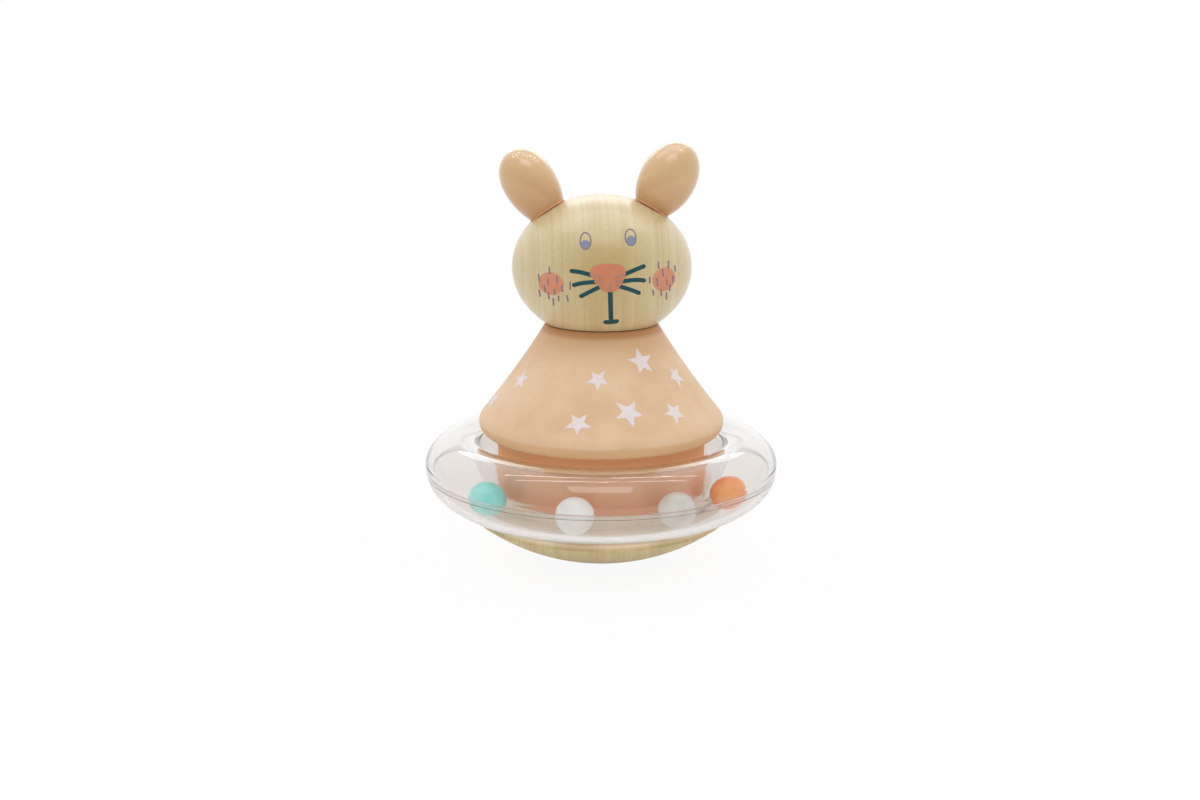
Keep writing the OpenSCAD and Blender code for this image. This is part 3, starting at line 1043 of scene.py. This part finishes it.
# %% Print the whiskers, the mouth and the nose
FIRST_COAT, SECOND_COAT, THIRD_COAT = 0.03, 0.055, 0.07  # mm above the wood, in printing order
MOUTH_LIFTS = (0.025, 0.035)  # its two strokes cross each other and the whiskers' height
WHISKER_WIDTH, THROUGH_WIDTH = 0.88, 0.6
WHISKERS = [  # start, a point on the way, end
    ((-6.15, 66.2), (-4.27, 66.02), (-2.2, 65.5)),
    ((-5.65, 63.35), (-3.77, 63.84), (-1.3, 64.1)),
    ((-4.2, 61.02), (-2.5, 61.99), (-0.3, 63.15)),
    ((8.58, 67.08), (6.87, 66.5), (4.6, 65.6)),
    ((8.66, 64.2), (6.63, 64.39), (4.0, 64.17)),
    ((7.6, 61.62), (5.75, 62.45), (3.4, 63.25)),
]
MOUTH = [  # start, a point on the way, end, width
    ((1.74, 62.6), (1.84, 59.0), (1.96, 55.7), 1.0),
    ((0.85, 55.13), (2.0, 55.12), (3.1, 55.32), 1.05),
]
SHOWING_THROUGH = [
    ((-2.2, 65.5), (-1.2, 65.45), (-0.3, 65.1)),
    ((-1.3, 64.1), (-0.8, 64.35), (-0.3, 64.6)),
    ((-0.3, 63.2), (0.0, 63.5), (0.2, 63.75)),
    ((4.6, 65.6), (3.7, 65.35), (2.95, 65.0)),
    ((4.0, 64.15), (3.5, 64.2), (3.0, 64.3)),
    ((3.4, 63.25), (3.15, 63.45), (2.95, 63.65)),
    ((1.7, 62.4), (1.7, 63.1), (1.68, 63.9)),
]
NOSE = [
    (-2.45, 65.81), (-2.3, 66.62), (-1.62, 67.33), (-0.23, 67.63), (1.53, 67.71), (3.3, 67.64),
    (4.45, 67.24), (4.9, 66.46), (4.93, 65.78), (4.53, 64.7), (3.96, 63.55), (3.46, 62.7),
    (2.57, 62.08), (1.56, 61.97), (0.42, 62.16), (-0.34, 62.8), (-0.9, 63.72), (-1.65, 64.74),
]

whisker_films = [film(brush_stroke(*w, WHISKER_WIDTH), on_head, FIRST_COAT) for w in WHISKERS]
mouth_films = [film(brush_stroke(*m), on_head, lift) for m, lift in zip(MOUTH, MOUTH_LIFTS)]
piece("face_whiskers", whisker_films + mouth_films, "toy", whisker_print)
piece("face_nose", film(rounded_loop(NOSE), on_head, SECOND_COAT), "toy", coral_print)
through_films = [
    film(brush_stroke(*s, THROUGH_WIDTH), on_head, THIRD_COAT) for s in SHOWING_THROUGH
]
piece("face_nose_show_through", through_films, "toy", through_print)

# %% [markdown]
# The cheeks are plain ovals with short upright dashes over and round them. The dashes could all be
# copies of one, but printed ones that imitate a brush differ a little, so each gets its length and
# its lean from a sine of its number.

# %% Print the cheeks
DASH_WIDTH = 0.32
CHEEKS = [((-10.46, 63.3), (2.7, 2.42)), ((12.92, 64.05), (2.46, 2.5))]  # middle, half sizes
DASHES = [
    (-10.76, 65.95), (-13.02, 64.3), (-11.06, 63.6), (-9.15, 64.29), (-11.79, 62.19), (-8.12, 62.4),
    (-6.44, 63.16), (-9.69, 61.6), (-12.9, 60.95), (-10.95, 60.65), (-8.88, 60.25), (-10.0, 59.35),
    (-7.03, 60.39), (11.67, 67.08), (13.81, 66.99), (15.28, 65.98), (12.64, 65.47), (14.81, 63.89),
    (9.86, 64.17), (11.44, 63.64), (13.48, 63.41), (14.19, 62.09), (12.35, 61.25), (10.64, 61.44),
    (13.52, 60.33),
]


def dash(place, i):
    """A short upright dash: half length 0.62 + 0.1 sin(2.4 i), lean 0.05 + 0.06 sin(1.7 i) mm."""
    x, z = place
    half = 0.62 + 0.1 * np.sin(2.4 * i)
    lean = 0.05 + 0.06 * np.sin(1.7 * i)
    return brush_stroke((x - lean, z + half), (x, z), (x + lean, z - half), DASH_WIDTH)


cheek_films = [film(ellipse(middle, half), on_head, FIRST_COAT) for middle, half in CHEEKS]
piece("face_cheeks", cheek_films, "toy", cheek_print)
dash_films = [film(dash(place, i), on_head, SECOND_COAT) for i, place in enumerate(DASHES)]
piece("face_dashes", dash_films, "toy", mauve_print)

# %% [markdown]
# The eyes are open ovals with their lower half filled. An oval's rim is a closed stroke: the same
# kind of film, but hollow in the middle. It could be a filled oval with a smaller wood-coloured one
# on top, which would hide the grain. So its section runs round the stroke: out along the top, over
# the edge and back underneath.

# %% Print the eyes
RIM_WIDTH, RIM_LIFT = 0.27, 0.035
EYES = [  # middle, half width and half height, tilt, level of the fill, crown of the fill
    ((-3.35, 72.19), (1.1, 1.58), 0.0, -0.25, 0.36),
    ((5.88, 72.83), (1.1, 1.55), 9.0, -0.28, 0.52),
]


def rim_film(middle, half, tilt):
    """Film along an ellipse: five places across the stroke on top, three on the underside."""
    across = np.array([-0.5, -0.35, 0.0, 0.35, 0.5, 0.35, 0.0, -0.35]) * RIM_WIDTH
    heights = [0.0] + 3 * [RIM_LIFT] + [0.0] + 3 * [-FILM_BELOW]
    loops = [
        on_head(ellipse(middle, (half[0] + a, half[1] + a), tilt, 64), up)
        for a, up in zip(across, heights)
    ]
    return np.stack(loops[::-1])


def lower_fill(middle, half, tilt, level, crown):
    """Outline of the filled lower part of an eye: its ellipse cut at level, a share of the half
    height, with the cut bowed up by crown."""
    flat = ellipse((0, 0), half, 0.0, 64)
    cut = half[1] * (level + crown * (1 - (flat[:, 0] / half[0]) ** 2))
    flat[:, 1] = np.minimum(flat[:, 1], cut)
    return turned_by(flat, tilt) + middle


rims = [rim_film(*eye[:3]) for eye in EYES]
piece("face_eye_rims", rims, "toy", mauve_print, wrap_rows=True)
fills = [film(lower_fill(*eye), on_head, FIRST_COAT) for eye in EYES]
piece("face_eye_fills", fills, "toy", eye_print)

# %% [markdown]
# ## The stars
# Small five-pointed stars are printed on the cone, each a little crooked. A Shrinkwrap modifier
# could press flat stars on to it, but the cone has a formula, so they are wrapped by it: a step
# across turns round the axis by step / radius, and a step up moves along the slanted side.


# %% Stars on the cone
def star_outline(size, point, i, notch=0.44, per_edge=4):
    """Five points a fifth of a turn apart, and five notches half way between them at notch of their
    length, joined by straight edges. Each point's length and direction are off by a few percent or
    degrees, from sines of its own number k and the star's number i."""
    k = np.arange(5)
    tips = np.radians(point + 72 * k + 4 * np.sin(2.1 * k + 1.3 * i))
    length = size * (1 + 0.09 * np.sin(1.9 * k + 2.3 * i + 0.5))
    gaps = np.radians(point + 72 * k + 36 + 3 * np.sin(1.1 * k + i))
    points = np.stack([length * np.cos(tips), length * np.sin(tips)], axis=1)
    notches = notch * size * np.stack([np.cos(gaps), np.sin(gaps)], axis=1)
    corner = np.stack([points, notches], axis=1).reshape(-1, 2)
    t = np.linspace(0, 1, per_edge, endpoint=False)[:, None, None]
    edges = corner * (1 - t) + np.roll(corner, -1, axis=0) * t
    return edges.transpose(1, 0, 2).reshape(-1, 2)


def on_dress(angle, height):
    """How a flat drawing is laid on the cone round the point at this angle and height: turned by
    x / r, raised by y / slant, and moved out along the cone's normal by the lift."""
    slope = dress_radius(height - 0.5) - dress_radius(height + 0.5)  # over 1 mm of height
    slant = np.hypot(1, slope)

    def lay(flat, lift):
        z = height + flat[:, 1] / slant
        r = dress_radius(z)
        a = np.radians(angle) + flat[:, 0] / r
        out = np.stack([np.sin(a), -np.cos(a), 0 * a], axis=1)
        normal = (out + [0, 0, slope]) / slant
        return out * r[:, None] + np.stack([0 * z, 0 * z, z], axis=1) + lift * normal

    return lay


star = star_outline(3.0, 90, 0)
print("a star of 3 mm has", len(star), "points on its outline")

# %% [markdown]
# Eight stars can be seen from the front. The back of the toy can't be seen in the photograph, so
# their scatter is carried on round it. A particle system could scatter them, but these eight have
# their own places and directions, so all are listed, and are one object of separate films.

# %% Print the stars
STAR_LIFT = 0.035  # mm above the paint
STARS = [  # angle from the front in degrees, height, size, direction of one point in degrees
    (-80.8, 35.9, 2.6, 96), (-61.2, 41.6, 2.6, 103), (-2.4, 43.5, 2.55, -90),
    (31.0, 46.5, 3.15, 95), (57.5, 42.6, 2.7, 108), (-11.4, 35.5, 2.8, -88),
    (14.5, 37.4, 3.2, -86), (40.6, 36.5, 2.75, 110), (114.0, 47.4, 2.6, -90),
    (110.5, 36.3, 2.8, 80), (131.0, 41.4, 3.1, 100), (146.0, 35.2, 2.7, 92),
    (154.0, 46.2, 2.6, -84), (168.5, 39.8, 3.0, -95), (-172.0, 34.9, 2.6, 88),
    (-170.0, 46.8, 2.7, 104), (-151.0, 41.2, 3.1, -90), (-139.0, 35.3, 2.7, 98),
    (-128.0, 46.4, 2.6, -86), (-116.0, 38.6, 3.0, 94),
]

star_films = [
    film(star_outline(size, point, i), on_dress(angle, height), STAR_LIFT, rings=5)
    for i, (angle, height, size, point) in enumerate(STARS)
]
piece("dress_stars", star_films, "toy", star_print)

# %% [markdown]
# ## The clear ring
# The ring is a hollow doughnut with a wall of 1.3 mm, moulded as two shells. The upper one has the
# dome and the wall of the hole, and the lower one is the bowl. They meet in a stepped weld that
# shows as a double line. A Solidify modifier could give a skin its wall, but not the weld's step,
# so each shell's section is drawn as one closed outline. Its stretches are rounded quarters
# |r/a|^n + |z/b|^n = 1, and the inner skin is the same outline drawn one wall further in.

# %% Outline of the ring
RING_RADIUS, RING_MIDDLE, RING_BOTTOM, RING_WALL = 39.0, 21.8, 10.8, 1.3
CREST_RADIUS, CREST = 31.5, 28.1  # top of the dome
HOLE_TOP_RADIUS, HOLE_EDGE, HOLE_RADIUS = 27.0, 25.3, 23.4  # the hole's wall leans outwards
BOWL_RADIUS = 21.0  # where the bowl's quarter would reach the bottom
BOWL_POWER, DOME_POWER, CREST_POWER = 2.3, 1.75, 2.0  # n of each quarter
SEAM, SEAM_LAP, WELD_GAP = 20.2, 0.8, 0.05  # height of the weld, height of its step, its hairline
SPLIT_RADIUS = 25.0  # the weld in the floor, over the base's shoulder

wall_lean = (HOLE_TOP_RADIUS - HOLE_RADIUS) / (HOLE_EDGE - RING_BOTTOM)


def quarter(a, b, n, angles):
    """Rounded quarter from (a, 0) to (0, b): r = a cos(q)^(2/n), z = b sin(q)^(2/n)."""
    return np.stack([a * np.cos(angles) ** (2 / n), b * np.sin(angles) ** (2 / n)], axis=1)


def ring_skin(depth):
    """Bowl, dome, crest, and foot of the hole's wall, at a depth below the outer skin, running from
    the underside out, up and over to the hole."""
    q = np.linspace(1e-6, np.pi / 2, 72)  # from just over 0, so quarters that meet share no point
    low, high = RING_MIDDLE - RING_BOTTOM - depth, CREST - RING_MIDDLE - depth
    bowl = quarter(RING_RADIUS - BOWL_RADIUS - depth, low, BOWL_POWER, q[::-1])
    dome = quarter(RING_RADIUS - CREST_RADIUS - depth, high, DOME_POWER, q)
    crest_width = CREST_RADIUS - HOLE_TOP_RADIUS - depth
    crest = quarter(crest_width, CREST - HOLE_EDGE - depth, CREST_POWER, q[::-1])
    return (
        np.array([BOWL_RADIUS, RING_MIDDLE]) + bowl * [1, -1],
        np.array([CREST_RADIUS, RING_MIDDLE]) + dome,
        np.array([CREST_RADIUS, HOLE_EDGE]) + crest * [-1, 1],
        np.array([HOLE_RADIUS + depth * (1 + wall_lean), RING_BOTTOM + depth]),
    )


def at_height(bowl, z):
    """Radius of the bowl's outline at height z."""
    return np.interp(z, bowl[:, 1], bowl[:, 0])


outer, inner = ring_skin(0.0), ring_skin(RING_WALL)
lap_radius = RING_RADIUS - RING_WALL / 2
lap_top, lap_low = SEAM + SEAM_LAP / 2, SEAM - SEAM_LAP / 2
print("hole wall leans", round(float(np.degrees(np.arctan(wall_lean))), 1), "degrees")

# %% [markdown]
# Each shell's outline is a closed loop, listed counter-clockwise in radius and height: along the
# outer skin and back along the inner one, with the weld's step between them. The turning direction
# decides which way the faces look, and a clear wall with faces that look inwards would bend light
# the wrong way. A hairline is left between the shells, as two touching surfaces would flicker.


# %% Outlines of the two shells
def plain(points):
    """Outline points that are already smooth, and need no easing."""
    return [(r, z, 0) for r, z in points]


def between(bowl, low, high):
    """The bowl's outline between two heights, with its ends exactly there."""
    inside = bowl[(bowl[:, 1] > low) & (bowl[:, 1] < high)]
    ends = np.array([[at_height(bowl, low), low], [at_height(bowl, high), high]])
    return np.vstack([ends[:1], inside, ends[1:]])


def from_radius(bowl, radius, high):
    """The bowl's outline from a radius in its underside up to a height."""
    inside = bowl[(bowl[:, 0] > radius) & (bowl[:, 1] < high)]
    start = [radius, np.interp(radius, bowl[:, 0], bowl[:, 1])]
    return np.vstack([[start], inside, [[at_height(bowl, high), high]]])


upper_outline = eased(
    [
        (lap_radius, lap_low, 0.05),
        (at_height(outer[0], lap_low), lap_low, 0.08),
        *plain(between(outer[0], lap_low, RING_MIDDLE)[1:-1]),
        *plain(outer[1][:-1]),
        *plain(outer[2]),
        (*outer[3], 0.4),
        (SPLIT_RADIUS, RING_BOTTOM, 0.05),
        (SPLIT_RADIUS, RING_BOTTOM + RING_WALL, 0.0),
        *plain(inner[2][::-1]),
        *plain(inner[1][:-1][::-1]),
        *plain(between(inner[0], lap_top, RING_MIDDLE)[1:-1][::-1]),
        (at_height(inner[0], lap_top), lap_top, 0.05),
        (lap_radius, lap_top, 0.05),
    ],
    closed=True,
)
split = SPLIT_RADIUS + WELD_GAP
lower_outline = eased(
    [
        (split, RING_BOTTOM, 0.05),
        *plain(from_radius(outer[0], split + 0.1, lap_low - WELD_GAP)[:-1]),
        (at_height(outer[0], lap_low - WELD_GAP), lap_low - WELD_GAP, 0.08),
        (lap_radius - WELD_GAP, lap_low - WELD_GAP, 0.05),
        (lap_radius - WELD_GAP, lap_top - WELD_GAP, 0.05),
        (at_height(inner[0], lap_top - WELD_GAP), lap_top - WELD_GAP, 0.05),
        *plain(from_radius(inner[0], split + 0.1, lap_top - WELD_GAP)[:-1][::-1]),
        (split, RING_BOTTOM + RING_WALL, 0.05),
    ],
    closed=True,
)
print("outlines:", len(upper_outline), "and", len(lower_outline), "points")

# %% [markdown]
# Both shells are carried round like the turned pieces, with their rows joined up as well. The two
# could be one mesh, but the real ones are two mouldings, and only the lower one is scuffed.

# %% Mould the two shells
RING_TURNS = 256  # the ring is the widest piece, so it gets more columns
for name, outline, plastic, node in (
    ("bead_ring_top", upper_outline, ring_plastic, "ring_upper_shell"),
    ("bead_ring_bowl", lower_outline, bowl_plastic, "ring_lower_shell"),
):
    shell = carried_round(outline, RING_TURNS)
    piece(name, shell, "ring", plastic, replaces=[node], wrap_rows=True)

# %% [markdown]
# ## The beads
# Four moulded balls of 7.9 mm lie on the ring's floor. A UV sphere would do as well. The helpers
# for turned shapes are at hand, so a ball is a half circle carried round its own upright axis and
# then moved to its place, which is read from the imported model.

# %% Make the beads
BEAD_RADIUS = 3.95
half_circle = np.linspace(-np.pi / 2, np.pi / 2, 49)
bead_profile = BEAD_RADIUS * np.stack([np.cos(half_circle), np.sin(half_circle)], axis=1)
bead_profile[[0, -1], 0] = 0
bead_grid = carried_round(bead_profile, 96)
for tone, plastic in BEADS.items():
    low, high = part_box(f"ball_{tone}")
    ball = bead_grid + np.array((low + high) / 2) / MM
    slot, node = f"{tone}_plastic", f"ball_{tone}"
    piece(f"bead_{tone}", ball, f"{tone}_ball", plastic, replaces=[node])

# %% [markdown]
# ## The hidden pieces
# Wooden dowels hold the ears, the head and the base on, and a steel ring in the base brings the toy
# upright again. They could be made anew like the other pieces. But they are plain cylinders that
# nobody sees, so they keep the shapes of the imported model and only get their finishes.

# %% Finish the dowels and the steel ring
HIDDEN = {
    "left_ear_dowel": dowel_wood,
    "right_ear_dowel": dowel_wood,
    "neck_dowel": dowel_wood,
    "base_dowel": dowel_wood,
    "ballast": steel,
}
for node, finish in HIDDEN.items():
    hidden_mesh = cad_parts[node].data
    hidden_mesh.materials.clear()
    hidden_mesh.materials.append(finish)
print("hidden pieces finished:", ", ".join(HIDDEN))

# %% [markdown]
# ## The floor
# The photograph has a pure white background. More light on a white floor would make it that white,
# but would also bleach the toy, so the floor shines by itself for what is seen of it. Near the toy
# a small share is still lit like paper, which keeps its soft shadow, and further out all of it is
# the even white. For light that bounces off it on to the toy, it is plain white paper.

# %% Floor
FLOOR_CIRCLES = [0, 60, 200, 800, 6000]  # mm, radii of the rings of its mesh
SHADOW_KEPT, SHADOW_GONE = 80.0, 300.0  # mm from the axis up to which it is kept, and lost
SHARE_LIT = 0.07  # share of the seen floor that is lit like paper, near the toy


def white_seen(tree):
    """1 for rays from the camera, from a gloss or through glass, 0 for rays that gather light."""
    path = add(tree, "LightPath")
    seen = path.outputs["Is Camera Ray"]
    for ray in ("Is Glossy Ray", "Is Transmission Ray"):
        both = {"Value": seen, "Value_001": path.outputs[ray]}
        seen = add(tree, "Math", both, operation="MAXIMUM").outputs[0]
    return seen


floor_material, tree, output = blank_material("white_paper_floor")
paper = add(tree, "BsdfDiffuse", {"Color": colour("#f8f8f8")})
shining = add(tree, "Emission", {"Color": WHITE, "Strength": 1.0})
place = add(tree, "TexCoord").outputs["Object"]
away = add(tree, "VectorMath", {"Vector": place}, operation="LENGTH")
even = add(
    tree,
    "MapRange",
    {
        "Value": away.outputs["Value"],
        "From Min": SHADOW_KEPT * MM,
        "From Max": SHADOW_GONE * MM,
        "To Min": 1 - SHARE_LIT,
        "To Max": 1.0,
    },
    interpolation_type="SMOOTHSTEP",
)
both = {"Value": white_seen(tree), "Value_001": even.outputs[0]}
share = add(tree, "Math", both, operation="MULTIPLY")
sheet = add(
    tree,
    "MixShader",
    {"Fac": share.outputs[0], "Shader": paper.outputs[0], "Shader_001": shining.outputs[0]},
)
finish_with(tree, output, sheet)

floor_profile = np.array([(radius, 0.0) for radius in FLOOR_CIRCLES])
floor_grid = carried_round(floor_profile, 96)[::-1]
floor = shown("floor", *cells(floor_grid), floor_material)
print("floor:", 2 * FLOOR_CIRCLES[-1] * MM, "m across")

# %% [markdown]
# ## The light
# The world is white, at strength 1, for what the camera sees directly and through the clear ring. A
# studio panorama could light the toy, but its lamps would be mirrored in the plastic. As a light
# the world is dimmer in front of the toy and brighter behind and above it, as in a light tent: soft
# light from all sides draws the shapes with hardly a shadow. In a gloss the same gradient is
# steeper, so that the plastic mirrors a bright band along its crest and not a white veil.

# %% World
BRIGHT_SIDE = (0, 0.7, 0.5)  # direction of the brightest part: behind the toy and up
FACING_MOST = 0.7  # the gradient ends where the direction's share of it reaches this
LIGHT_RANGE, GLOSS_RANGE = (0.55, 0.95), (0.08, 1.2)  # strengths in front and behind

world = bpy.data.worlds.new("studio")
scene.world = world
world.use_nodes = True
world_tree = world.node_tree
world_tree.nodes.clear()
facing = add(
    world_tree,
    "VectorMath",
    {"Vector": add(world_tree, "TexCoord").outputs["Generated"], "Vector_001": BRIGHT_SIDE},
    operation="DOT_PRODUCT",
)
light, gloss = (
    add(
        world_tree,
        "MapRange",
        {
            "Value": facing.outputs["Value"],
            "From Min": -FACING_MOST,
            "From Max": FACING_MOST,
            "To Min": front,
            "To Max": behind,
        },
    )
    for front, behind in (LIGHT_RANGE, GLOSS_RANGE)
)
path = add(world_tree, "LightPath")
strength = light.outputs[0]
for ray, level in (
    ("Is Glossy Ray", gloss.outputs[0]),
    ("Is Transmission Ray", 1.0),
    ("Is Camera Ray", 1.0),
):
    strength = add(
        world_tree,
        "Mix",
        {"Factor_Float": path.outputs[ray], "A_Float": strength, "B_Float": level},
    ).outputs[0]
background = add(world_tree, "Background", {"Color": WHITE, "Strength": strength})
world_tree.links.new(background.outputs[0], add(world_tree, "OutputWorld").inputs["Surface"])
print("world as a light, front to back:", LIGHT_RANGE, "and in a gloss:", GLOSS_RANGE)

# %% [markdown]
# One soft box above and in front gives the shapes a little more light from the photograph's side.
# The world alone would leave the plastic dull, and brighter lamps would bleach the paint. So two
# long thin strips and a broad panel behind the toy only make highlights: thin lines along the
# ring's dome and the ears, and a soft bright band on the ring's crest. Matt surfaces don't see
# them, and none of the lamps is seen through the clear ring.

# %% Lamps
LAMPS = {  # place, size across and along in mm, strength in watts, whether it lights matt surfaces
    "strip_front": ((0, 20, 430), (520, 8), 0.22, False),
    "strip_back": ((0, 120, 430), (520, 8), 0.22, False),
    "crest_panel": ((0, 420, 330), (500, 130), 0.38, False),
    "soft_box": ((0, -170, 480), (240, 160), 0.35, True),
}
for name, (place, size, watts, lights_matt) in LAMPS.items():
    lamp_data = bpy.data.lights.new(name, "AREA")
    lamp_data.shape = "RECTANGLE"
    lamp_data.size, lamp_data.size_y = (s * MM for s in size)
    lamp_data.energy = watts
    lamp = bpy.data.objects.new(name, lamp_data)
    aim = Vector((0, 0, AIM_HEIGHT)) - Vector(place)
    turn = aim.to_track_quat("-Z", "Y").to_matrix().to_4x4()
    lamp.matrix_world = Matrix.Translation(Vector(place) * MM) @ turn
    lamp.visible_transmission = False
    lamp.visible_diffuse = lights_matt
    scene.collection.objects.link(lamp)
print("lamps:", ", ".join(LAMPS))

# %% [markdown]
# ## Picture settings
# Colours go through the plain sRGB view, because a filmic one would grey the white. A ray that
# crosses the ring meets eight skins, and bounces inside its walls besides. With the usual limit of
# twelve it would end there as a black speck, so it may go on twice as long.

# %% Finish
MOST_BOUNCES = 24
scene.view_settings.view_transform = "Standard"
scene.cycles.max_bounces = MOST_BOUNCES
scene.cycles.transmission_bounces = MOST_BOUNCES
scene.cycles.transparent_max_bounces = MOST_BOUNCES
